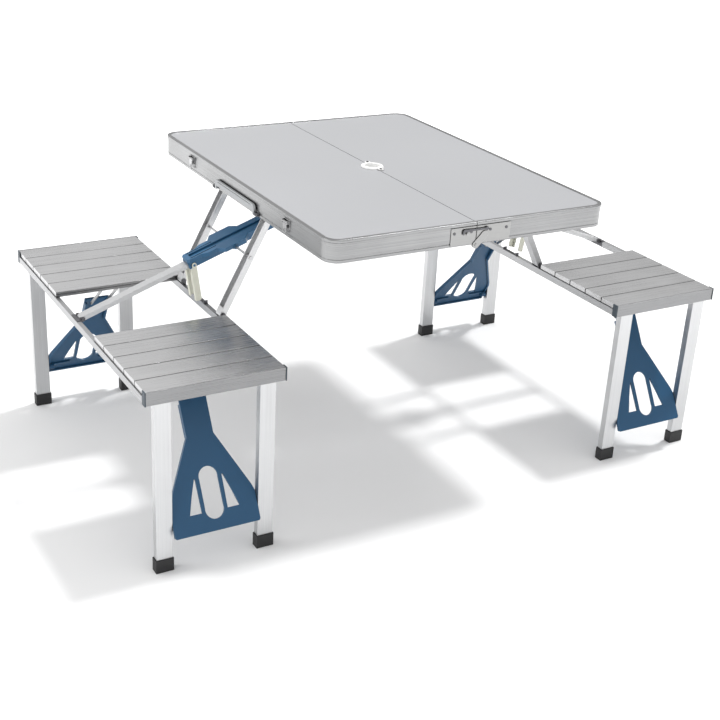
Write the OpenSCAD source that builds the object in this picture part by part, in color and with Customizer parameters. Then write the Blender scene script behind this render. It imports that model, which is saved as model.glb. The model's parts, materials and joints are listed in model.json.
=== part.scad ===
// Folding picnic table with four attached seats. The top is two shallow
// trays hinged along Y at the middle; each tray carries a two-seat bench on
// two swinging arms, and the whole set folds into a suitcase.
// Origin: on the floor under the middle of the top. X across the fold line,
// Y along it, Z up. Built once for the +X side and mirrored for the other.

/* [Table top] */
// size of the open top along X
top_w = 680; // [560:1:800]
// size of the top along Y
top_l = 855; // [700:1:1000]
// height of the top's upper edge above the floor
top_h = 657; // [600:1:720]
// depth of each tray's rim
rim_h = 48; // [44:1:70]
// outer radius of the tray's corners
corner_r = 34; // [20:1:60]
// thickness of the table board
board_t = 3; // [2:0.5:5]
// radius of the umbrella pole hole
pole_r = 17; // [14:0.5:22]

/* [Benches] */
// distance from the fold line to the bench's outer face
bench_out = 712; // [640:1:760]
// distance from the fold line to the bench's inner face
bench_in = 417; // [400:1:424]
// half of the bench's length along Y
bench_hl = 418; // [380:1:419]
// height of the seat surface
seat_h = 405; // [360:1:440]
// thickness of a seat slat
slat_h = 12; // [8:1:16]
// length of one seat along Y
seat_l = 290; // [240:1:292]
// number of slats in one seat
slat_n = 5; // [3:1:7]
// width of a bench rail
rail_w = 10; // [8:1:16]
// depth of a bench rail
rail_h = 15; // [12:1:22]

/* [Legs] */
// width of a leg along X
leg_w = 34; // [28:1:46]
// thickness of a leg along Y
leg_t = 16; // [14:1:20]
// distance from the fold line to the middle of an outer leg
leg_out = 675; // [640:1:682]
// distance from the fold line to the middle of an inner leg
leg_in = 455; // [450:1:500]
// height of the leg's hinge rod
leg_pivot_h = 383; // [370:1:384]
// lean of the brace from upright, in degrees
brace_lean = 30.4; // [28:0.1:36]
// length of the brace from its lower pins to its tip
brace_l = 246; // [220:0.5:250]

/* [Swing arms] */
// distance from the fold line to the arm's hinge under the top
arm_top_x = 296; // [280:1:310]
// height of the arm's hinge under the top
arm_top_h = 644; // [630:1:645]
// distance of each arm from the middle along Y
arm_y = 110; // [90:1:112]
// width of an arm along Y
arm_w = 22; // [12:1:22]
// depth of an arm
arm_d = 14; // [10:1:14]

/* [Sliding strut] */
// length of the strut bar from its pivot
strut_l = 265; // [220:1:267]
// width of the strut bar
strut_w = 22; // [14:1:22]
// half width of the narrow part of the strut guide
guide_hw = 18; // [16:0.5:20]
// half width of the shoulders of the strut guide
shoulder_hw = 45; // [30:1:60]

/* [Hidden] */
$fn = 48;
eps = 0.01;
silver = [0.78, 0.79, 0.8];
steel = [0.62, 0.62, 0.63];
zinc = [0.36, 0.36, 0.37];
board_grey = [0.8, 0.8, 0.81];
blue = [0.17, 0.34, 0.48];
cream = [0.84, 0.84, 0.77];
white = [0.93, 0.93, 0.92];
black = [0.05, 0.05, 0.055];
cap_grey = [0.25, 0.28, 0.3];

half_w = top_w / 2;
half_l = top_l / 2;
fold_z = top_h - rim_h;
fold_gap = 0.8;
// rim section, as depth in from the outer face and height up from the bottom
face_in = 1.5;
bead_z = rim_h - 6;
wall_in = 4.2;
lip_in = 8.5;
ledge_in = 10;
foot_in = 6.5;
board_z = top_h - 1 - board_t;
wall_t = 3.2;
rivet_r = 3;

// umbrella ring
ring_r = 27;
tube_r = 22.5;
tube_h = 18;
ring_ear_y = 31;
ring_ear_x = 5;

// fold hinge plates lie on the rim's end faces, in three layers
plate_in = half_l - face_in;
plate_t = 1.5;
lobe_in = half_l + 0.3;
lobe_out = half_l + 1.8;
catch_in = lobe_out + 0.3;
catch_out = catch_in + 1.4;
lobe_r = 8;
hinge_pin_r = 3;
pin_fit = 0.06;

// bench
seat_y = bench_hl - 2;
slat_bottom = seat_h - slat_h;
rail_z = slat_bottom - rail_h;
slat_out = bench_out - 2.5;
slat_in = bench_in + 2.5;
slat_pitch = seat_l / slat_n;
slat_gap = 1.9;
slat_wall = 1.6;
rail_end = bench_hl - 14;
fascia_t = 1.8;
fascia_z = rail_z - 1;

// arm triangle: lower hinge on the inner rail, upper hinge under the top
arm_low_x = bench_in + rail_w / 2;
arm_low_h = slat_bottom + 9;
arm_dx = arm_low_x - arm_top_x;
arm_dz = arm_top_h - arm_low_h;
arm_l = sqrt(arm_dx * arm_dx + arm_dz * arm_dz);
arm_tilt = atan2(arm_dz, arm_dx);
pin_r = 2.5;
pin_bore = pin_r + 0.05;
eye_r = arm_d / 2;

// strut from the outer rail up to the cross pin at the middle of the arms
strut_hd = 5;
strut_drop = 8.5;
strut_x = bench_out - rail_w - strut_hd - 1;
strut_z = arm_low_h - strut_drop;
cross_x = (arm_low_x + arm_top_x) / 2;
cross_z = (arm_low_h + arm_top_h) / 2;
cross_far = norm([strut_x - cross_x, cross_z - strut_z]);
strut_tilt = atan2(cross_z - strut_z, strut_x - cross_x) - asin(strut_drop / cross_far);
guide_down = 106;
guide_up = 126;
shoulder_down = 58;
shoulder_up = 40;

// prop legs hang from the guide and stand over the inner rail
prop_s = -95;
prop_n = -8;
prop_l = 84;
prop_turn = 101;
prop_hw = 5;
prop_t = 2.4;
prop_flange = 11.8;

// leg sets, in the plane across the hinge rod
leg_y = bench_hl - 12;
rod_r = 4;
rod_bore = rod_r + 0.06;
foot_h = 29;
foot_wall = 2;
leg_end = 6;
brace_u = -2.7;
brace_z = 95.3;
brace_front = 5;
brace_t = 5;
neck_hw = 29;
brace_hw = (leg_out - leg_in - leg_w) / 2 - 0.6;
brace_x = (leg_out + leg_in) / 2;
strap_u = 232.6;
strap_z = 385.4;
strap_l = 132;
strap_tilt = 218.3;
strap_x = 18.5;
strap_t = 2.5;
strap_hw = 3.4;

// ---- helpers ----

module to_left() {
  mirror([1, 0, 0]) children();
}

module to_back() {
  mirror([0, 1, 0]) children();
}

module both_ends() {
  children();
  to_back() children();
}

// cylinder along X, from x0 to x1
module rod_x(r, x0, x1, y, z) {
  translate([x0, y, z]) rotate([0, 90, 0]) cylinder(r = r, h = x1 - x0);
}

// cylinder along Y, from y0 to y1
module rod_y(r, x, z, y0, y1) {
  translate([x, y0, z]) rotate([-90, 0, 0]) cylinder(r = r, h = y1 - y0);
}

// cuboid given by its two corners
module span(a, b) {
  translate(a) cube(b - a);
}

// outline in X and Z, extruded from y0 to y1
module plate_y(y0, y1) {
  translate([0, y1, 0]) rotate([90, 0, 0]) linear_extrude(y1 - y0) children();
}

// outline in Y and Z, extruded from x0 to x1
module plate_x(x0, x1) {
  translate([x0, 0, 0]) rotate([90, 0, 90]) linear_extrude(x1 - x0) children();
}

// rounded bar between two points of an outline: two discs and a bar a shade narrower
module link_2d(a, b, r) {
  d = b - a;
  w = 0.985 * r;
  translate(a) rotate(atan2(d[1], d[0])) translate([0, -w]) square([norm(d), 2 * w]);
  translate(a) circle(r);
  translate(b) circle(r);
}

// ---- table top ----

module rim_section(edge) {
  polygon([
    for (p = [
      [0.8 + face_in, 0], [face_in, 0.8], [face_in, 6], [face_in + 0.8, 6.5],
      [face_in + 0.8, 7.5], [face_in, 8], [face_in, bead_z - 1.2], [0, bead_z],
      [0, rim_h - 1.6], [0.5, rim_h - 0.5], [1.6, rim_h], [lip_in, rim_h],
      [lip_in + 0.5, rim_h - 0.5], [lip_in, rim_h - 1], [wall_in, rim_h - 1],
      [wall_in, rim_h - 1 - board_t], [ledge_in, rim_h - 1 - board_t],
      [ledge_in, rim_h - 3 - board_t], [wall_in, rim_h - 3 - board_t],
      [wall_in, 2], [foot_in, 2], [foot_in, 0]
    ]) [edge - p[0], fold_z + p[1]]
  ]);
}

module rim_right() {
  color(silver) difference() {
    union() {
      translate([0, half_l - corner_r, 0]) rotate([90, 0, 0])
        linear_extrude(2 * (half_l - corner_r)) rim_section(half_w);
      both_ends() {
        plate_x(fold_gap, half_w - corner_r) rim_section(half_l);
        translate([half_w - corner_r, half_l - corner_r, 0])
          rotate_extrude(angle = 90) rim_section(corner_r);
      }
      span([fold_gap, wall_in - half_l, fold_z],
           [fold_gap + wall_t, half_l - wall_in, board_z]);
    }
    translate([0, 0, fold_z - 1]) cylinder(r = tube_r + 1, h = rim_h + 2);
  }
}

module board_outline() {
  in = wall_in + 0.2;
  r = corner_r - in;
  translate([fold_gap, in - half_l])
    square([half_w - corner_r - fold_gap, 2 * (half_l - in)]);
  translate([fold_gap, corner_r - half_l])
    square([half_w - in - fold_gap, 2 * (half_l - corner_r)]);
  for (s = [-1, 1])
    translate([half_w - corner_r, s * (half_l - corner_r)]) circle(r);
}

module board_right() {
  color(board_grey) translate([0, 0, board_z]) linear_extrude(board_t)
    difference() {
      board_outline();
      circle(tube_r + 0.7);
    }
}

module umbrella_ring() {
  z = board_z + board_t;
  color(white) difference() {
    union() {
      translate([0, 0, z]) cylinder(r1 = ring_r, r2 = ring_r - 2, h = 3);
      translate([0, 0, z - tube_h]) cylinder(r = tube_r, h = tube_h + 1);
      for (s = [-1, 1])
        translate([ring_ear_x, s * ring_ear_y, z]) cylinder(r = 6.5, h = 2.4);
      span([ring_ear_x - 6.5, -ring_ear_y, z], [ring_ear_x + 6.5, ring_ear_y, z + 2.4]);
    }
    translate([0, 0, z - tube_h - 1]) cylinder(r = pole_r, h = tube_h + 5);
    for (s = [-1, 1])
      translate([ring_ear_x, s * ring_ear_y, z - 1]) cylinder(r = 1.9, h = 5);
    difference() {
      span([-ring_r - 1, -40, z - eps], [0.4, 40, z + 0.4]);
      translate([0, 0, z - 1]) cylinder(r = tube_r, h = 3);
    }
  }
}

module ring_screws() {
  z = board_z + board_t;
  color(black) for (s = [-1, 1])
    translate([ring_ear_x, s * ring_ear_y, 0]) {
      translate([0, 0, z + eps]) cylinder(r = 1.8, h = 2.4);
      translate([0, 0, z + 2.4]) cylinder(r1 = 3.4, r2 = 2.6, h = 1.2);
    }
}

// ---- fold hinge plates, catches ----

plate_low = fold_z + 3;
plate_high = fold_z + bead_z - 2;

module fold_plate_left() {
  difference() {
    union() {
      plate_y(-plate_in - plate_t, -plate_in) {
        translate([-62, plate_low]) square([61, plate_high - plate_low]);
        link_2d([-10.5, fold_z + 11], [0, fold_z], lobe_r);
      }
      rod_y(hinge_pin_r, 0, fold_z, -lobe_out - 1.2, -plate_in);
      rod_y(2.5, -24, fold_z + 26, -catch_out - 0.3, -plate_in - 1);
    }
    for (x = [-54, -13]) rod_y(1.6, x, fold_z + 29, -half_l - 3, -plate_in + 1);
  }
}

module fold_plate_right() {
  difference() {
    union() {
      plate_y(-plate_in - plate_t, -plate_in) difference() {
        translate([1, plate_low]) square([83, plate_high - plate_low]);
        translate([0, fold_z]) circle(lobe_r + 0.5);
        translate([0, plate_low - 1]) square([9, 9]);
      }
      plate_y(-lobe_out, -lobe_in) link_2d([20, fold_z + 20], [0, fold_z], lobe_r);
      rod_y(lobe_r - 2, 20, fold_z + 20, -lobe_in - 0.6, -plate_in - 0.8);
    }
    rod_y(hinge_pin_r + pin_fit, 0, fold_z, -lobe_out - 1, -plate_in + 1);
    for (x = [34, 74]) rod_y(1.6, x, fold_z + 29, -half_l - 3, -plate_in + 1);
    rod_y(2.05, 24, fold_z + 33, -half_l - 5, -plate_in + 1);
  }
}

module rivet_y(x, z) {
  rod_y(1.6, x, z, -plate_in - plate_t, -plate_in);
  rod_y(rivet_r, x, z, -plate_in - plate_t - 1, -plate_in - plate_t);
}

module fold_plates_left() {
  color(steel) both_ends() fold_plate_left();
}

module fold_plates_right() {
  color(steel) both_ends() fold_plate_right();
}

module plate_rivets_left() {
  color(zinc) both_ends() for (x = [-54, -13]) rivet_y(x, fold_z + 29);
}

module plate_rivets_right() {
  color(zinc) both_ends() for (x = [34, 74]) rivet_y(x, fold_z + 29);
}

module fold_catch_front() {
  color(zinc) {
    plate_y(-catch_out, -catch_in) {
      link_2d([24, fold_z + 33], [-16, fold_z + 33.3], 1.9);
      translate([24, fold_z + 33]) circle(4);
      link_2d([-15, fold_z + 33.1], [-31, fold_z + 33.2], 2.6);
      link_2d([-32.4, fold_z + 32.8], [-33.4, fold_z + 26.4], 1.8);
    }
    rod_y(2, 24, fold_z + 33, -catch_in - 0.7, -plate_in - 0.2);
  }
}

module fold_catch_back() {
  to_back() fold_catch_front();
}

// ---- carrying handle and case latches, on the left long edge ----

handle_hl = 98;
handle_x = half_w + 3.2;
handle_z = fold_z + 5;
handle_top = 12.5;
latch_y = 245;
latch_z = fold_z + 25;

module handle_bosses() {
  color(zinc) both_ends() difference() {
    union() {
      span([face_in - half_w - 1.4, -handle_hl - 16, fold_z + 0.6],
           [face_in - half_w, -handle_hl - 5, fold_z + 13]);
      rod_y(3.7, -handle_x, handle_z, -handle_hl - 14, -handle_hl - 5);
      span([-handle_x, -handle_hl - 14, handle_z - 3.5],
           [face_in - half_w - 0.2, -handle_hl - 5, handle_z + 3.5]);
    }
    rod_y(2.05, -handle_x, handle_z, -handle_hl - 17, -handle_hl - 4);
  }
}

module handle_outline() {
  low = handle_top - 7;
  high = handle_top + 7;
  difference() {
    union() {
      translate([-handle_hl - 3.5, 0]) square([2 * handle_hl + 7, high - 9]);
      translate([-handle_hl + 5.5, 0]) square([2 * handle_hl - 11, high]);
      for (s = [-1, 1]) {
        translate([s * (handle_hl - 5.5), high - 9]) circle(9);
        translate([s * handle_hl, 0]) circle(3.4);
      }
    }
    translate([-handle_hl + 4.5, -5]) square([2 * handle_hl - 9, low + 5]);
  }
}

module carry_handle() {
  color(steel) translate([-handle_x, 0, handle_z]) {
    difference() {
      plate_x(-2.4, 2.4) handle_outline();
      span([-3, -handle_hl + 12, handle_top + 2.4], [-1.4, handle_hl - 12, handle_top + 4]);
    }
    for (s = [-1, 1])
      rod_y(2, 0, 0, min(s * handle_hl, s * (handle_hl + 13)),
            max(s * handle_hl, s * (handle_hl + 13)));
  }
}

module latch_plate() {
  difference() {
    union() {
      span([face_in - half_w - 1, -14, latch_z - 10], [face_in - half_w, 14, latch_z + 13]);
      for (s = [-1, 1])
        span([face_in - half_w - 6.6, s * 9.8 - 1, latch_z + 3],
             [face_in - half_w - 0.8, s * 9.8 + 1, latch_z + 11]);
    }
    rod_y(1.55, face_in - half_w - 4.2, latch_z + 7, -17, 17);
  }
}

module latch_plates() {
  color(zinc) for (s = [-1, 1]) translate([0, s * latch_y, 0]) latch_plate();
}

module latch_lever() {
  x = face_in - half_w - 4.2;
  color(steel) {
    rod_y(1.5, x, latch_z + 7, -11, 11);
    rod_y(2.6, x, latch_z + 7, -8.2, 8.2);
    span([x - 1.8, -7, latch_z - 7], [x, 7, latch_z + 7]);
    rod_y(1.3, x - 1.3, latch_z - 14.6, -5.6, 5.6);
    span([x - 2, -5.4, latch_z - 14], [x - 0.6, -3.2, latch_z - 6]);
    span([x - 2, 3.2, latch_z - 14], [x - 0.6, 5.4, latch_z - 6]);
  }
}

module latch_front() {
  translate([0, -latch_y, 0]) latch_lever();
}

module latch_back() {
  translate([0, latch_y, 0]) latch_lever();
}

module latch_keepers() {
  x = half_w - face_in;
  color(zinc) for (s = [-1, 1]) translate([0, s * latch_y, 0]) {
    span([x, -15, fold_z + 6], [x + 1.2, 15, fold_z + 26]);
    span([x + 1, -10, fold_z + 16], [x + 5, 10, fold_z + 18]);
    span([x + 3.6, -10, fold_z + 11], [x + 5, 10, fold_z + 18]);
  }
}

// ---- clips that hold a hinge pin along Y between two cheeks ----

// base plate at height z, cheeks from z to the pin and past it
module clip_y(x, y, z, pin_z, w, half_x, reach) {
  low = min(z, pin_z - reach);
  high = max(z, pin_z + reach);
  up = pin_z > z;
  for (s = [-1, 1])
    plate_y(y + s * (w / 2 + 1.2) - 0.9, y + s * (w / 2 + 1.2) + 0.9) {
      translate([x, pin_z]) circle(reach);
      translate([x - reach, min(z, pin_z)]) square([2 * reach, abs(pin_z - z)]);
    }
  span([x - half_x, y - w / 2 - 2.1, up ? z : z - 1.2],
       [x + half_x, y + w / 2 + 2.1, up ? z + 1.2 : z]);
  rod_y(pin_r, x, pin_z, y - w / 2 - 2.6, y + w / 2 + 2.6);
}

module top_clips_right() {
  color(zinc) for (s = [-1, 1])
    clip_y(arm_top_x, s * arm_y, board_z, arm_top_h, arm_w, 11, 6);
}

// ---- swing arms ----

// channel arm in its own frame: lower eye at the origin, upper eye at +X
module arm_shape() {
  difference() {
    union() {
      span([0, -arm_w / 2, -eye_r], [arm_l, arm_w / 2, eye_r]);
      rod_y(eye_r, 0, 0, -arm_w / 2, arm_w / 2);
      rod_y(eye_r, arm_l, 0, -arm_w / 2, arm_w / 2);
    }
    span([14, -arm_w / 2 + 1.8, -eye_r - 1], [arm_l - 14, arm_w / 2 - 1.8, eye_r - 1.8]);
    rod_y(pin_bore, 0, 0, -arm_w, arm_w);
    rod_y(pin_bore, arm_l, 0, -arm_w, arm_w);
    rod_y(pin_r, arm_l / 2, 0, -arm_w, arm_w);
  }
}

// the part's frame for the arm on the +X side: it leans in towards the top
module on_arm() {
  translate([arm_low_x, 0, arm_low_h]) rotate([0, arm_tilt - 180, 0]) children();
}

module side_arms_right() {
  color(silver) on_arm() for (s = [-1, 1]) translate([0, s * arm_y, 0]) arm_shape();
}

module cross_pin_right() {
  y = arm_y + arm_w / 2;
  color(steel) {
    rod_y(pin_r, cross_x, cross_z, -y - 0.4, y + 0.4);
    for (s = [-1, 1])
      rod_y(4.2, cross_x, cross_z, s > 0 ? y : -y - 1.6, s > 0 ? y + 1.6 : -y);
  }
}

// ---- strut bar and its guide ----

// frame of the strut on the +X side: +X runs from the bench up to the middle
module on_strut() {
  translate([strut_x, 0, strut_z]) rotate([0, strut_tilt - 180, 0]) children();
}

// the guide's frame: the same slope, with its origin on the cross pin
module on_guide() {
  translate([cross_x, 0, cross_z]) rotate([0, strut_tilt - 180, 0]) mirror([0, 0, 1])
    children();
}

module strut_right() {
  w = strut_w / 2;
  color(silver) on_strut() difference() {
    union() {
      span([0, -w, -strut_hd], [strut_l, w, strut_hd]);
      rod_y(strut_hd, 0, 0, -w, w);
    }
    span([14, -w + 1.8, -strut_hd + 1.8], [strut_l + 1, w - 1.8, strut_hd + 1]);
    rod_y(pin_bore, 0, 0, -strut_w, strut_w);
  }
}

// guide outline seen from above, along the strut with the cross pin at 0
module guide_outline() {
  n = guide_hw;
  s = shoulder_hw;
  polygon([
    [5 - guide_down, -n], [-guide_down, 6 - n], [-guide_down, n - 6],
    [5 - guide_down, n], [-shoulder_down - 14, n], [-shoulder_down, n + 9],
    [-shoulder_down + 22, n + 9], [-shoulder_down + 34, s],
    [shoulder_up - 14, s], [shoulder_up, n + 9], [guide_up - 12, n + 9],
    [guide_up, n + 1], [guide_up, -n - 1], [guide_up - 12, -n - 9],
    [shoulder_up, -n - 9], [shoulder_up - 14, -s],
    [-shoulder_down + 34, -s], [-shoulder_down + 22, -n - 9],
    [-shoulder_down, -n - 9], [-shoulder_down - 14, -n]
  ]);
}

guide_top = 8;
guide_web = -3;
guide_low = -14;
prop_y = guide_hw + 0.6;

module guide_right() {
  inner = strut_w / 2 + 0.8;
  color(blue) on_guide() difference() {
    union() {
      translate([0, 0, guide_web]) linear_extrude(guide_top - guide_web) guide_outline();
      for (s = [-1, 1])
        span([-guide_down, s > 0 ? inner : -guide_hw + 1, guide_low],
             [guide_up - 4, s > 0 ? guide_hw - 1 : -inner, guide_web + 1]);
      rod_y(5.4, 0, 0, -shoulder_hw - 2, shoulder_hw + 2);
      rod_y(3, prop_s, prop_n, inner, prop_y + prop_t);
      rod_y(3, prop_s, prop_n, -prop_y - prop_t, -inner);
    }
    // running channel for the strut, open below
    span([-guide_down - 1, -inner, guide_low - 6], [guide_up + 1, inner, guide_web]);
    // shallow grooves on top
    span([12 - guide_down, -7.5, guide_top - 4.4], [guide_up - 6, 7.5, guide_top + 1]);
    for (s = [-1, 1])
      span([10 - guide_down, s * 13 - 1.5, guide_top - 3],
           [-shoulder_down + 26, s * 13 + 1.5, guide_top + 1]);
    // relieved underside of the shoulders
    for (s = [-1, 1])
      span([-shoulder_down - 20, s > 0 ? guide_hw - 0.9 : -shoulder_hw - 3, guide_low - 1],
           [-7, s > 0 ? shoulder_hw + 3 : 0.9 - guide_hw, guide_web + 2]);
    rod_y(pin_bore, 0, 0, -shoulder_hw - 5, shoulder_hw + 5);
  }
}

// ---- prop ----

// one leg of the prop: a cheek beside the guide and a flange below it
module prop_leg() {
  plate_y(prop_y, prop_y + prop_t) difference() {
    union() {
      link_2d([0, 0], [prop_l - prop_hw, 0], prop_hw);
      translate([9, -prop_hw - 3.6]) square([prop_l - 9, prop_hw + 3.6]);
    }
    circle(3.06);
  }
  span([14, prop_flange, -prop_hw - 3.6], [prop_l, prop_y + prop_t, -prop_hw - 1.8]);
}

module prop_right() {
  color(cream) on_guide() translate([prop_s, 0, prop_n]) rotate([0, prop_turn, 0]) {
    prop_leg();
    to_back() prop_leg();
  }
}

// ---- bench ----

module rails_right() {
  color(silver) for (x = [bench_in, bench_out - rail_w])
    plate_y(-rail_end, rail_end) difference() {
      translate([x, rail_z]) square([rail_w, rail_h]);
      translate([x + 1.6, rail_z + 1.6]) square([rail_w - 3.2, rail_h - 3.2]);
    }
}

// slat section, from its front edge at y 0, with a tongue under its neighbour
module slat_outline() {
  w = slat_pitch - slat_gap;
  polygon([[0, 0], [0, slat_h - 0.8], [0.8, slat_h], [w - 0.8, slat_h],
           [w, slat_h - 0.8], [w, 6], [w + slat_gap - 0.2, 6],
           [w + slat_gap - 0.2, 4], [w, 4], [w, 0]]);
}

module slat_hollow() {
  w = slat_pitch - slat_gap;
  cell = (w - slat_wall) / 3;
  for (i = [0:2])
    translate([slat_wall + i * cell, -1]) square([cell - slat_wall, slat_h + 1 - 2]);
}

module slats_right() {
  color(silver) both_ends() for (i = [0:slat_n - 1])
    translate([0, -seat_y + i * slat_pitch, slat_bottom]) difference() {
      plate_x(slat_in, slat_out) slat_outline();
      plate_x(slat_in + slat_wall, slat_out - slat_wall) slat_hollow();
    }
}

module fascia_right_front() {
  span([slat_in, -seat_y - fascia_t - 0.2, fascia_z], [slat_out, -seat_y - 0.2, seat_h]);
  span([slat_in, -seat_y - 0.3 - fascia_t, seat_h - 3],
       [slat_out, -seat_y - fascia_t - 0.1, seat_h + 0.3]);
}

module fascias_right() {
  color(silver) both_ends() fascia_right_front();
}

// plug in a rail's end with a cheek over the end of the fascia
module rail_cap(x_rail, x_cheek, t) {
  span([x_rail, -seat_y, rail_z - 1], [x_rail + rail_w, -rail_end - 0.05, slat_bottom - 0.05]);
  span([x_cheek, -bench_hl - 1, rail_z - 1.4], [x_cheek + t, -rail_end - 0.05, seat_h + 0.5]);
}

module rail_caps_right() {
  t = 2.4;
  color(cap_grey) both_ends() {
    rail_cap(bench_in, bench_in, t);
    rail_cap(bench_out - rail_w, bench_out - t, t);
  }
}

// clip on the outer rail's inner flank that holds the foot of the strut
module strut_clip() {
  w = strut_w / 2;
  x = bench_out - rail_w;
  for (s = [-1, 1])
    plate_y(s * (w + 1.4) - 0.9, s * (w + 1.4) + 0.9) {
      translate([strut_x, strut_z]) circle(5.5);
      translate([strut_x, strut_z - 5.5]) square([x - strut_x, 11]);
    }
  span([x - 0.8, -w - 9, rail_z + 2], [x, w + 9, slat_bottom + 1.2]);
  span([x - 0.8, -w - 9, slat_bottom], [x + rail_w - 2, w + 9, slat_bottom + 1.2]);
  rod_y(pin_r, strut_x, strut_z, -w - 3, w + 3);
}

module bench_clips_right() {
  color(zinc) {
    for (s = [-1, 1])
      clip_y(arm_low_x, s * arm_y, slat_bottom, arm_low_h, arm_w, rail_w / 2, 5);
    strut_clip();
    // seat for the prop, on top of the inner rail
    span([bench_in, -27, slat_bottom], [bench_in + rail_w, 27, slat_bottom + 1]);
    for (s = [-1, 1])
      span([bench_in, s * 25.5 - 1, slat_bottom], [bench_in + rail_w, s * 25.5 + 1, slat_bottom + 7]);
  }
}

module leg_rods_right() {
  color(steel) both_ends() {
    rod_x(rod_r, bench_in + rail_w, bench_out - rail_w, -leg_y, leg_pivot_h);
    for (s = [-1, 1]) {
      span([brace_x + s * (strap_x + 3.4) - 0.9, strap_u - leg_y - 5, strap_z - 5],
           [brace_x + s * (strap_x + 3.4) + 0.9, strap_u - leg_y + 5, slat_bottom]);
      rod_x(2, brace_x + min(s * (strap_x - 3), s * (strap_x + 4.6)),
            brace_x + max(s * (strap_x - 3), s * (strap_x + 4.6)),
            strap_u - leg_y, strap_z);
    }
    span([brace_x - strap_x - 8, strap_u - leg_y - 5, slat_bottom - 1.2],
         [brace_x + strap_x + 8, strap_u - leg_y + 5, slat_bottom]);
  }
}

// ---- leg sets at the front end (-Y) of the +X bench ----

module leg_front(x) {
  w = leg_w / 2;
  t = leg_t / 2;
  difference() {
    union() {
      span([x - w, -leg_y - t, leg_end], [x + w, -leg_y + t, leg_pivot_h]);
      rod_x(t - 0.2, x - w, x + w, -leg_y, leg_pivot_h);
    }
    span([x - w + 1.6, -leg_y - t + 1.6, leg_end - 1],
         [x + w - 1.6, -leg_y + t - 1.6, leg_pivot_h - 24]);
    rod_x(rod_bore, x - w - 1, x + w + 1, -leg_y, leg_pivot_h);
  }
}

module legs_right_front() {
  color(silver) {
    leg_front(leg_in);
    leg_front(leg_out);
    // stub pins that carry the brace between the legs
    for (s = [-1, 1])
      rod_x(3, brace_x + min(s * (brace_hw - 5), s * (brace_hw + 2)),
            brace_x + max(s * (brace_hw - 5), s * (brace_hw + 2)),
            brace_u - leg_y, brace_z);
  }
}

module foot_front(x) {
  w = leg_w / 2 + foot_wall;
  t = leg_t / 2 + foot_wall;
  difference() {
    span([x - w, -leg_y - t, 0], [x + w, -leg_y + t, foot_h]);
    span([x - w + foot_wall, -leg_y - t + foot_wall, leg_end],
         [x + w - foot_wall, -leg_y + t - foot_wall, foot_h + 1]);
  }
}

module feet_right_front() {
  color(black) for (x = [leg_in, leg_out]) foot_front(x);
}

// frame of the brace: +X from its lower pins to its tip, +Z its smooth face
module on_brace() {
  translate([brace_x, brace_u - leg_y, brace_z])
    rotate([0, 0, 90]) rotate([0, brace_lean - 90, 0]) children();
}

neck_start = 168;
brace_low = -26;
brace_shoulder = 36;

module brace_outline() {
  w = brace_hw;
  polygon([
    [brace_low, -w + 3], [brace_low, w - 3], [brace_low + 4, w],
    [brace_shoulder, w], [brace_shoulder + 14, w - 5], [neck_start, neck_hw],
    [brace_l, neck_hw], [brace_l, -neck_hw], [neck_start, -neck_hw],
    [brace_shoulder + 14, 5 - w], [brace_shoulder, -w], [brace_low + 4, -w]
  ]);
}

slot_low = 18;
slot_high = 84;
slot_r = 20.5;

module brace_windows() {
  link_2d([slot_low, 0], [slot_high, 0], slot_r);
  for (s = [-1, 1])
    polygon([[14, s * 27.5], [14, s * 54], [50, s * 43], [84, s * 31], [82, s * 28.5]]);
}

module brace_right_front() {
  f = brace_front;
  w = brace_hw;
  color(blue) on_brace() difference() {
    union() {
      translate([0, 0, f]) linear_extrude(brace_t) difference() {
        brace_outline();
        brace_windows();
      }
      // rim flanges on the back, and the neck's cheeks
      for (s = [-1, 1]) {
        translate([0, 0, f - 4]) linear_extrude(5) {
          link_2d([brace_low + 4, s * (w - 3)], [brace_shoulder, s * (w - 3)], 2.4);
          link_2d([brace_shoulder, s * (w - 3)], [brace_shoulder + 14, s * (w - 8)], 2.4);
          link_2d([brace_shoulder + 14, s * (w - 8)], [neck_start, s * (neck_hw - 2.4)], 2.4);
        }
        translate([0, 0, f - 8]) linear_extrude(9)
          link_2d([neck_start, s * (neck_hw - 2.4)],
                  [brace_l - 12, s * (neck_hw - 2.4)], 2.4);
        rod_y(7, 0, 0, s > 0 ? w - 14 : -w, s > 0 ? w : 14 - w);
        span([-7, s > 0 ? w - 14 : -w, 0], [7, s > 0 ? w : 14 - w, f + 1]);
      }
      translate([0, 0, f - 4]) linear_extrude(5) {
        link_2d([brace_low + 4, 8 - w], [brace_low + 4, w - 8], 2.4);
        for (s = [-1, 1]) link_2d([6, s * 38], [6, s * (w - 16)], 1.6);
      }
    }
    rod_y(3.06, 0, 0, -w - 3, 6 - w);
    rod_y(3.06, 0, 0, w - 6, w + 3);
  }
}

// frame of the strap: +X from the seat bracket to its free end
module on_strap() {
  translate([brace_x, strap_u - leg_y, strap_z])
    rotate([0, 0, 90]) rotate([0, -strap_tilt, 0]) children();
}

module strap_right_front() {
  color(steel) on_strap() for (s = [-1, 1])
    plate_y(s * strap_x - strap_t / 2, s * strap_x + strap_t / 2) difference() {
      link_2d([0, 0], [strap_l, 0], strap_hw);
      circle(2.05);
      translate([strap_l, 0]) circle(1.6);
    }
}

// ---- mirrored sub-parts ----

module rim_left() {
  to_left() rim_right();
}

module board_left() {
  to_left() board_right();
}

module top_clips_left() {
  to_left() top_clips_right();
}

module side_arms_left() {
  to_left() side_arms_right();
}

module cross_pin_left() {
  to_left() cross_pin_right();
}

module rails_left() {
  to_left() rails_right();
}

module slats_left() {
  to_left() slats_right();
}

module fascias_left() {
  to_left() fascias_right();
}

module rail_caps_left() {
  to_left() rail_caps_right();
}

module bench_clips_left() {
  to_left() bench_clips_right();
}

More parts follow.
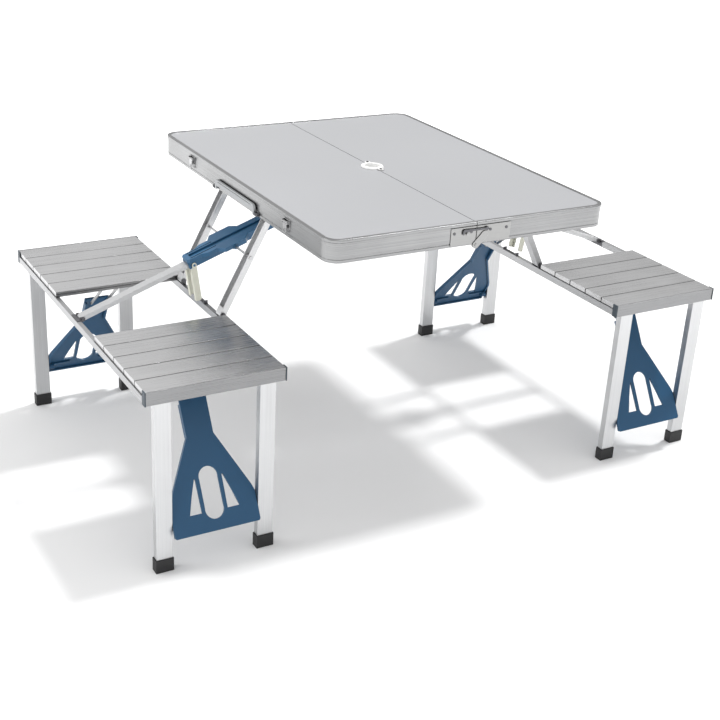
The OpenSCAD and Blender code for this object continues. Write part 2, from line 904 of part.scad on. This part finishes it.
module leg_rods_left() {
  to_left() leg_rods_right();
}

module strut_left() {
  to_left() strut_right();
}

module guide_left() {
  to_left() guide_right();
}

module prop_left() {
  to_left() prop_right();
}

rim_left();
rim_right();
board_left();
board_right();
umbrella_ring();
ring_screws();
fold_plates_left();
fold_plates_right();
plate_rivets_left();
plate_rivets_right();
fold_catch_front();
fold_catch_back();
handle_bosses();
carry_handle();
latch_plates();
latch_front();
latch_back();
latch_keepers();
top_clips_left();
top_clips_right();
side_arms_left();
side_arms_right();
cross_pin_left();
cross_pin_right();
rails_left();
rails_right();
slats_left();
slats_right();
fascias_left();
fascias_right();
rail_caps_left();
rail_caps_right();
bench_clips_left();
bench_clips_right();
leg_rods_left();
leg_rods_right();
strut_left();
strut_right();
guide_left();
guide_right();
prop_left();
prop_right();
to_left() legs_right_front();  // legs_left_front
to_left() to_back() legs_right_front();  // legs_left_back
legs_right_front();
to_back() legs_right_front();  // legs_right_back
to_left() feet_right_front();  // feet_left_front
to_left() to_back() feet_right_front();  // feet_left_back
feet_right_front();
to_back() feet_right_front();  // feet_right_back
to_left() brace_right_front();  // brace_left_front
to_left() to_back() brace_right_front();  // brace_left_back
brace_right_front();
to_back() brace_right_front();  // brace_right_back
to_left() strap_right_front();  // strap_left_front
to_left() to_back() strap_right_front();  // strap_left_back
strap_right_front();
to_back() strap_right_front();  // strap_right_back
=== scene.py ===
import json
import math
import bpy
from mathutils import Matrix, Vector

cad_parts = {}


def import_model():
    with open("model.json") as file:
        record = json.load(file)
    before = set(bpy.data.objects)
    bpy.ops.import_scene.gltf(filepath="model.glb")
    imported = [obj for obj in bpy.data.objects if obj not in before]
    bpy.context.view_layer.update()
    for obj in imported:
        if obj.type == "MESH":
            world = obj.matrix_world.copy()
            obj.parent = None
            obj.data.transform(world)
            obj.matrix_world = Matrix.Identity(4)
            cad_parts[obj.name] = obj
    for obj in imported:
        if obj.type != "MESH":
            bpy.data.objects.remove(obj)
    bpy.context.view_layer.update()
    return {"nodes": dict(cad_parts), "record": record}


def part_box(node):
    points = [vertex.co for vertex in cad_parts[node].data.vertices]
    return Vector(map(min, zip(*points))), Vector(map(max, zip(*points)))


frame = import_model()
nodes = frame["nodes"]
scene = bpy.context.scene


# ---- materials ----

RELIEF_DEPTH = 0.0002      # height of the surface grain
WEAR_WIDTH = 0.0008        # how far rubbing reaches from an edge
PAINTED_SHADE_REACH = 0.005       # how near two walls must be to get painted shade between them
SEAM_DARKNESS = 0.3        # share of the base colour left under the painted shade line at a slat joint
COAT_ROUGHNESS = 0.25
# colour of the painted shade in narrow joints and corners
PAINTED_SHADE_BLACK = (0.0, 0.0, 0.0)
# colour of the painted shade lines at the slat joints
SEAM_SHADE = (0.05, 0.05, 0.05)


class Graph:
    """A material with a Principled shader and a short way to add nodes."""

    def __init__(self, name):
        self.mat = bpy.data.materials.new(name)
        self.mat.use_nodes = True
        self.tree = self.mat.node_tree
        self.shader = self.tree.nodes["Principled BSDF"]
        self.place = self.node("ShaderNodeTexCoord").outputs["Object"]

    def node(self, kind, **settings):
        n = self.tree.nodes.new(kind)
        for key, value in settings.items():
            setattr(n, key, value)
        return n

    def link(self, out, socket):
        self.tree.links.new(out, socket)

    def stretched(self, scale, turn=0.0):
        """Object coordinates turned about Y and scaled per axis."""
        m = self.node("ShaderNodeMapping", vector_type="POINT")
        m.inputs["Scale"].default_value = scale
        m.inputs["Rotation"].default_value = (0, turn, 0)
        self.link(self.place, m.inputs["Vector"])
        return m.outputs["Vector"]

    def noise(self, where, scale=1.0, detail=3.0, rough=0.5):
        n = self.node("ShaderNodeTexNoise")
        n.inputs["Scale"].default_value = scale
        n.inputs["Detail"].default_value = detail
        n.inputs["Roughness"].default_value = rough
        self.link(where, n.inputs["Vector"])
        return n.outputs["Fac"]

    def remap(self, value, low, high, to_low, to_high):
        r = self.node("ShaderNodeMapRange")
        for socket, v in zip(("From Min", "From Max", "To Min", "To Max"), (low, high, to_low, to_high)):
            r.inputs[socket].default_value = v
        self.link(value, r.inputs["Value"])
        return r.outputs["Result"]

    def mix(self, factor, a, b, mode="MIX"):
        m = self.node("ShaderNodeMix", data_type="RGBA", blend_type=mode)
        for socket, v in ((m.inputs[0], factor), (m.inputs[6], a), (m.inputs[7], b)):
            if isinstance(v, (int, float)):
                socket.default_value = v
            elif isinstance(v, tuple):
                socket.default_value = (*v, 1.0)
            else:
                self.link(v, socket)
        return m.outputs[2]

    def math(self, kind, a, b):
        m = self.node("ShaderNodeMath", operation=kind)
        for socket, v in ((m.inputs[0], a), (m.inputs[1], b)):
            if isinstance(v, (int, float)):
                socket.default_value = v
            else:
                self.link(v, socket)
        return m.outputs[0]

    def edges(self, width):
        """About 1 within width of a sharp edge and 0 on flats."""
        b = self.node("ShaderNodeBevel", samples=6)
        b.inputs["Radius"].default_value = width
        g = self.node("ShaderNodeNewGeometry")
        d = self.node("ShaderNodeVectorMath", operation="DOT_PRODUCT")
        self.link(b.outputs["Normal"], d.inputs[0])
        self.link(g.outputs["Normal"], d.inputs[1])
        return self.remap(d.outputs["Value"], 0.99, 0.75, 0.0, 1.0)

    def painted_corner_shade(self, floor):
        """Painted shade: 1 in the open and down to floor in narrow joints and corners, where shade falls."""
        a = self.node("ShaderNodeAmbientOcclusion", samples=8)
        a.inputs["Distance"].default_value = PAINTED_SHADE_REACH
        return self.remap(a.outputs["AO"], 0.35, 0.85, floor, 1.0)

    def seam(self, start, pitch, width):
        """Painted shade lines across Y at the slat joints, every pitch inwards from start on both sides."""
        split = self.node("ShaderNodeSeparateXYZ")
        self.link(self.place, split.inputs[0])
        inward = self.math("SUBTRACT", start, self.math("ABSOLUTE", split.outputs["Y"], 0.0))
        turns = self.math("FRACT", self.math("ADD", self.math("DIVIDE", inward, pitch), 0.5), 0.0)
        off = self.math("MULTIPLY", self.math("ABSOLUTE", self.math("SUBTRACT", turns, 0.5), 0.0), pitch)
        return self.remap(off, width * 0.4, width, SEAM_DARKNESS, 1.0)


def surface(name, color, metallic, rough, grain, turn=0.0, relief=0.1, tone=0.08, blotch=6.0,
            edge=None, round_edge=0.0006, coat=0.0, painted_shade_share=0.25, seams=None):
    """Fine grain in colour, roughness and relief, slow blotches, worn edges, painted shade in joints, soft
    corners.

    rough is the lowest and highest roughness, grain the noise's density along each axis, turn its
    rotation about Y, tone the change of brightness, edge the colour rubbed bare, the painted shade share
    the part of the colour left where painted shade darkens narrow joints and corners, and seams the start,
    pitch and half-width of the painted shade lines at the slat joints.
    """
    g = Graph(name)
    fine = g.noise(g.stretched(grain, turn), 1.0, 4.0, 0.6)
    slow = g.noise(g.place, blotch, 3.0, 0.5)
    dark = tuple(c * (1 - tone) for c in color)
    light = tuple(min(1.0, c * (1 + tone)) for c in color)
    both = g.math("ADD", g.math("MULTIPLY", fine, 0.6), g.math("MULTIPLY", slow, 0.4))
    shade = g.mix(g.remap(both, 0.35, 0.65, 0.0, 1.0), dark, light)
    if edge:
        rub = g.math("MULTIPLY", g.edges(WEAR_WIDTH), g.remap(slow, 0.35, 0.6, 0.35, 0.9))
        shade = g.mix(rub, shade, edge)
    # painted shade: narrow joints and corners darkened towards black by ambient occlusion
    shade = g.mix(g.painted_corner_shade(painted_shade_share), PAINTED_SHADE_BLACK, shade)
    if seams:
        # painted shade lines along the slat joints
        shade = g.mix(g.seam(*seams), SEAM_SHADE, shade)
    g.link(shade, g.shader.inputs["Base Color"])
    g.shader.inputs["Metallic"].default_value = metallic
    g.link(g.remap(both, 0.3, 0.7, rough[0], rough[1]), g.shader.inputs["Roughness"])
    if coat:
        g.shader.inputs["Coat Weight"].default_value = coat
        g.shader.inputs["Coat Roughness"].default_value = COAT_ROUGHNESS
    soft = g.node("ShaderNodeBevel", samples=4)
    soft.inputs["Radius"].default_value = round_edge
    bump = g.node("ShaderNodeBump")
    bump.inputs["Strength"].default_value = relief
    bump.inputs["Distance"].default_value = RELIEF_DEPTH
    g.link(fine, bump.inputs["Height"])
    g.link(soft.outputs["Normal"], bump.inputs["Normal"])
    g.link(bump.outputs["Normal"], g.shader.inputs["Normal"])
    return g.mat


# the slats' joints, from their CAD solids, where painted shade lines go
SLATS_PER_SEAT = 5
SLAT_GAP = 0.0019
SEAM_HALF_WIDTH = 0.0026
reach = [abs(v.co.y) for v in nodes["slats_right"].data.vertices]
slat_pitch = (max(reach) - min(reach) + 0.1 * SLAT_GAP) / SLATS_PER_SEAT
slat_seams = (max(reach) + SLAT_GAP / 2, slat_pitch, SEAM_HALF_WIDTH)

SILVER = (0.42, 0.423, 0.43)
BAR_SILVER = (0.62, 0.623, 0.63)
BRIGHT = (0.72, 0.725, 0.735)
BLUE = (0.01, 0.07, 0.155)
BLUE_EDGE = (0.06, 0.2, 0.34)

# by the record's material slot
MATERIALS = {
    "rim": surface("rim_satin", (0.29, 0.292, 0.295), 1.0, (0.22, 0.36), (3, 3, 700), edge=BRIGHT, tone=0.2),
    "board": surface("board_satin", (0.385, 0.39, 0.405), 0.0, (0.3, 0.42), (420, 420, 420), tone=0.04,
                     relief=0.06, blotch=2.0, coat=0.3),
    "ring": surface("ring_white", (0.85, 0.85, 0.84), 0.0, (0.25, 0.4), (500, 500, 500), tone=0.03),
    "screw": surface("screw_black", (0.03, 0.03, 0.033), 0.6, (0.3, 0.5), (900, 900, 900),
                     edge=(0.2, 0.2, 0.2)),
    "plate": surface("plate_steel", (0.34, 0.34, 0.338), 1.0, (0.25, 0.42), (30, 400, 900), edge=BRIGHT),
    "dark_metal": surface("zinc_dark", (0.13, 0.13, 0.14), 0.8, (0.35, 0.55), (600, 600, 600),
                          edge=(0.4, 0.4, 0.41), tone=0.2),
    "handle": surface("handle_grey", (0.34, 0.35, 0.36), 0.0, (0.35, 0.5), (300, 40, 300),
                      edge=(0.6, 0.61, 0.62), tone=0.07),
    "slat": surface("slat_brushed", (0.57, 0.57, 0.575), 1.0, (0.22, 0.34), (4, 900, 900),
                    tone=0.12, relief=0.12, round_edge=0.0003, painted_shade_share=0.08, seams=slat_seams),
    "pin": surface("pin_steel", (0.5, 0.5, 0.51), 1.0, (0.2, 0.35), (300, 300, 300), edge=BRIGHT),
    "blue": surface("blue_plastic", BLUE, 0.0, (0.35, 0.5), (1200, 1200, 1200), edge=BLUE_EDGE,
                    tone=0.06, relief=0.2),
    "cream": surface("cream_plastic", (0.68, 0.68, 0.58), 0.0, (0.35, 0.5), (900, 900, 900),
                     edge=(0.8, 0.8, 0.72), tone=0.05),
    "foot": surface("foot_rubber", (0.014, 0.014, 0.015), 0.0, (0.45, 0.7), (1500, 1500, 1500),
                    edge=(0.07, 0.07, 0.075), tone=0.25, relief=0.35),
    "cap": surface("cap_plastic", (0.03, 0.045, 0.06), 0.0, (0.35, 0.5), (1200, 1200, 1200),
                   edge=(0.12, 0.15, 0.18), tone=0.1),
}
# by the start of the node's name, in place of the slot's material
BY_NAME = {
    "guide_": surface("guide_blue", (0.022, 0.105, 0.215), 0.0, (0.3, 0.45), (1200, 1200, 1200),
                      edge=BLUE_EDGE, tone=0.08, relief=0.2, painted_shade_share=0.12),
    "latch_": surface("latch_steel", (0.42, 0.42, 0.425), 1.0, (0.2, 0.35), (300, 300, 60), edge=BRIGHT,
                      tone=0.15, painted_shade_share=0.1),
    "legs": surface("leg_satin", (0.6, 0.605, 0.612), 1.0, (0.28, 0.42), (700, 700, 4), edge=BRIGHT),
    "fascias": surface("end_strip_satin", (0.27, 0.272, 0.277), 1.0, (0.22, 0.34), (6, 900, 900), edge=BRIGHT,
                       tone=0.12),
    "rails": surface("rail_satin", SILVER, 1.0, (0.28, 0.42), (700, 4, 700), edge=BRIGHT),
}


def swing_angle(node):
    """Slope of a long bar in the X-Z plane, from its CAD box."""
    low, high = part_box(node)
    return math.atan2(high.z - low.z, high.x - low.x)


# the grain of the sloping bars runs along each bar
for side, sign in (("left", 1), ("right", -1)):
    for bar in ("side_arms", "strut"):
        name = f"{bar}_{side}"
        slope = swing_angle(name)
        lean = slope if bar == "strut" else -slope
        BY_NAME[name] = surface(name + "_satin", BAR_SILVER, 1.0, (0.38, 0.52), (5, 600, 600),
                                turn=sign * lean, edge=BRIGHT, painted_shade_share=0.6)

slot_of = {s["node"]: s["material_slot"] for s in frame["record"]["subparts"]}
for name, obj in nodes.items():
    chosen = MATERIALS.get(slot_of[name])
    for start, material in BY_NAME.items():
        if name.startswith(start):
            chosen = material
    for holder in obj.material_slots:
        holder.material = chosen


# ---- floor, light and camera ----

FLOOR_HALF = 40.0
GLOW_FROM, GLOW_TO, GLOW = 1.0, 3.2, 0.7
SUN_ANGLE = math.radians(7)
SKY_SLOPE = (-0.6, 0.0, 1.0)
SKY_EDGE = 0.35
SKY_DARK, SKY_BRIGHT = 0.42, 0.93


def floor():
    """Pale paper that glows a little far from the table, so that it reads white there."""
    mesh = bpy.data.meshes.new("floor")
    corners = [(x * FLOOR_HALF, y * FLOOR_HALF, 0) for x, y in ((-1, -1), (1, -1), (1, 1), (-1, 1))]
    mesh.from_pydata(corners, [], [(0, 1, 2, 3)])
    obj = bpy.data.objects.new("floor", mesh)
    scene.collection.objects.link(obj)
    g = Graph("floor_paper")
    cloud = g.noise(g.place, 1.5, 2.0)
    g.link(g.mix(cloud, (0.88, 0.88, 0.88), (0.91, 0.91, 0.91)), g.shader.inputs["Base Color"])
    away = g.node("ShaderNodeVectorMath", operation="LENGTH")
    g.link(g.place, away.inputs[0])
    g.shader.inputs["Emission Color"].default_value = (1, 1, 1, 1)
    g.link(g.remap(away.outputs["Value"], GLOW_FROM, GLOW_TO, 0.0, GLOW), g.shader.inputs["Emission Strength"])
    g.shader.inputs["Roughness"].default_value = 0.9
    g.shader.inputs["Specular IOR Level"].default_value = 0.1
    mesh.materials.append(g.mat)


def area_light(name, place, target, size, power):
    """A rectangular panel at place that faces target."""
    data = bpy.data.lights.new(name, "AREA")
    data.shape = "RECTANGLE"
    data.size, data.size_y = size
    data.energy = power
    obj = bpy.data.objects.new(name, data)
    obj.location = place
    obj.rotation_euler = (Vector(target) - Vector(place)).to_track_quat("-Z", "Y").to_euler()
    scene.collection.objects.link(obj)


def sun(name, heading, power):
    """A distant soft light shining along heading."""
    data = bpy.data.lights.new(name, "SUN")
    data.energy = power
    data.angle = SUN_ANGLE
    obj = bpy.data.objects.new(name, data)
    obj.rotation_euler = Vector(heading).to_track_quat("-Z", "Y").to_euler()
    scene.collection.objects.link(obj)


def world():
    """Pale tent, bright above and to the left, darker low and to the right."""
    w = bpy.data.worlds.new("studio")
    scene.world = w
    w.use_nodes = True
    tree = w.node_tree
    coords = tree.nodes.new("ShaderNodeTexCoord")
    slope = tree.nodes.new("ShaderNodeVectorMath")
    slope.operation = "DOT_PRODUCT"
    slope.inputs[1].default_value = SKY_SLOPE
    ramp = tree.nodes.new("ShaderNodeMapRange")
    ramp.inputs["From Min"].default_value = -SKY_EDGE
    ramp.inputs["From Max"].default_value = SKY_EDGE
    ramp.inputs["To Min"].default_value = SKY_DARK
    ramp.inputs["To Max"].default_value = SKY_BRIGHT
    tree.links.new(coords.outputs["Generated"], slope.inputs[0])
    tree.links.new(slope.outputs["Value"], ramp.inputs["Value"])
    background = tree.nodes["Background"]
    background.inputs["Color"].default_value = (1, 1, 1, 1)
    tree.links.new(ramp.outputs["Result"], background.inputs["Strength"])


def camera():
    """The photograph's view: standing place, heading, tilt, roll and lens."""
    place = Vector((-1.4491, -2.4246, 1.4543))
    heading, pitch, roll = math.radians(30.813), math.radians(-24.468), math.radians(3.261)
    ahead = Vector((math.sin(heading) * math.cos(pitch),
                    math.cos(heading) * math.cos(pitch),
                    math.sin(pitch)))
    level = Vector((math.cos(heading), -math.sin(heading), 0))
    upright = level.cross(ahead)
    right = level * math.cos(roll) + upright * math.sin(roll)
    up = upright * math.cos(roll) - level * math.sin(roll)
    data = bpy.data.cameras.new("camera")
    data.sensor_width = 36.0
    data.lens = 63.44
    obj = bpy.data.objects.new("camera", data)
    turn = Matrix((right, up, -ahead)).transposed().to_4x4()
    obj.matrix_world = Matrix.Translation(place) @ turn
    scene.collection.objects.link(obj)
    scene.camera = obj


floor()
world()
sun("key", (-2.67, -0.5, -6.1), 1.85)
area_light("fill_left", (-3.2, 0.6, 2.6), (0, 0, 0.4), (1.6, 1.2), 26)
camera()
scene.view_settings.view_transform = "Standard"
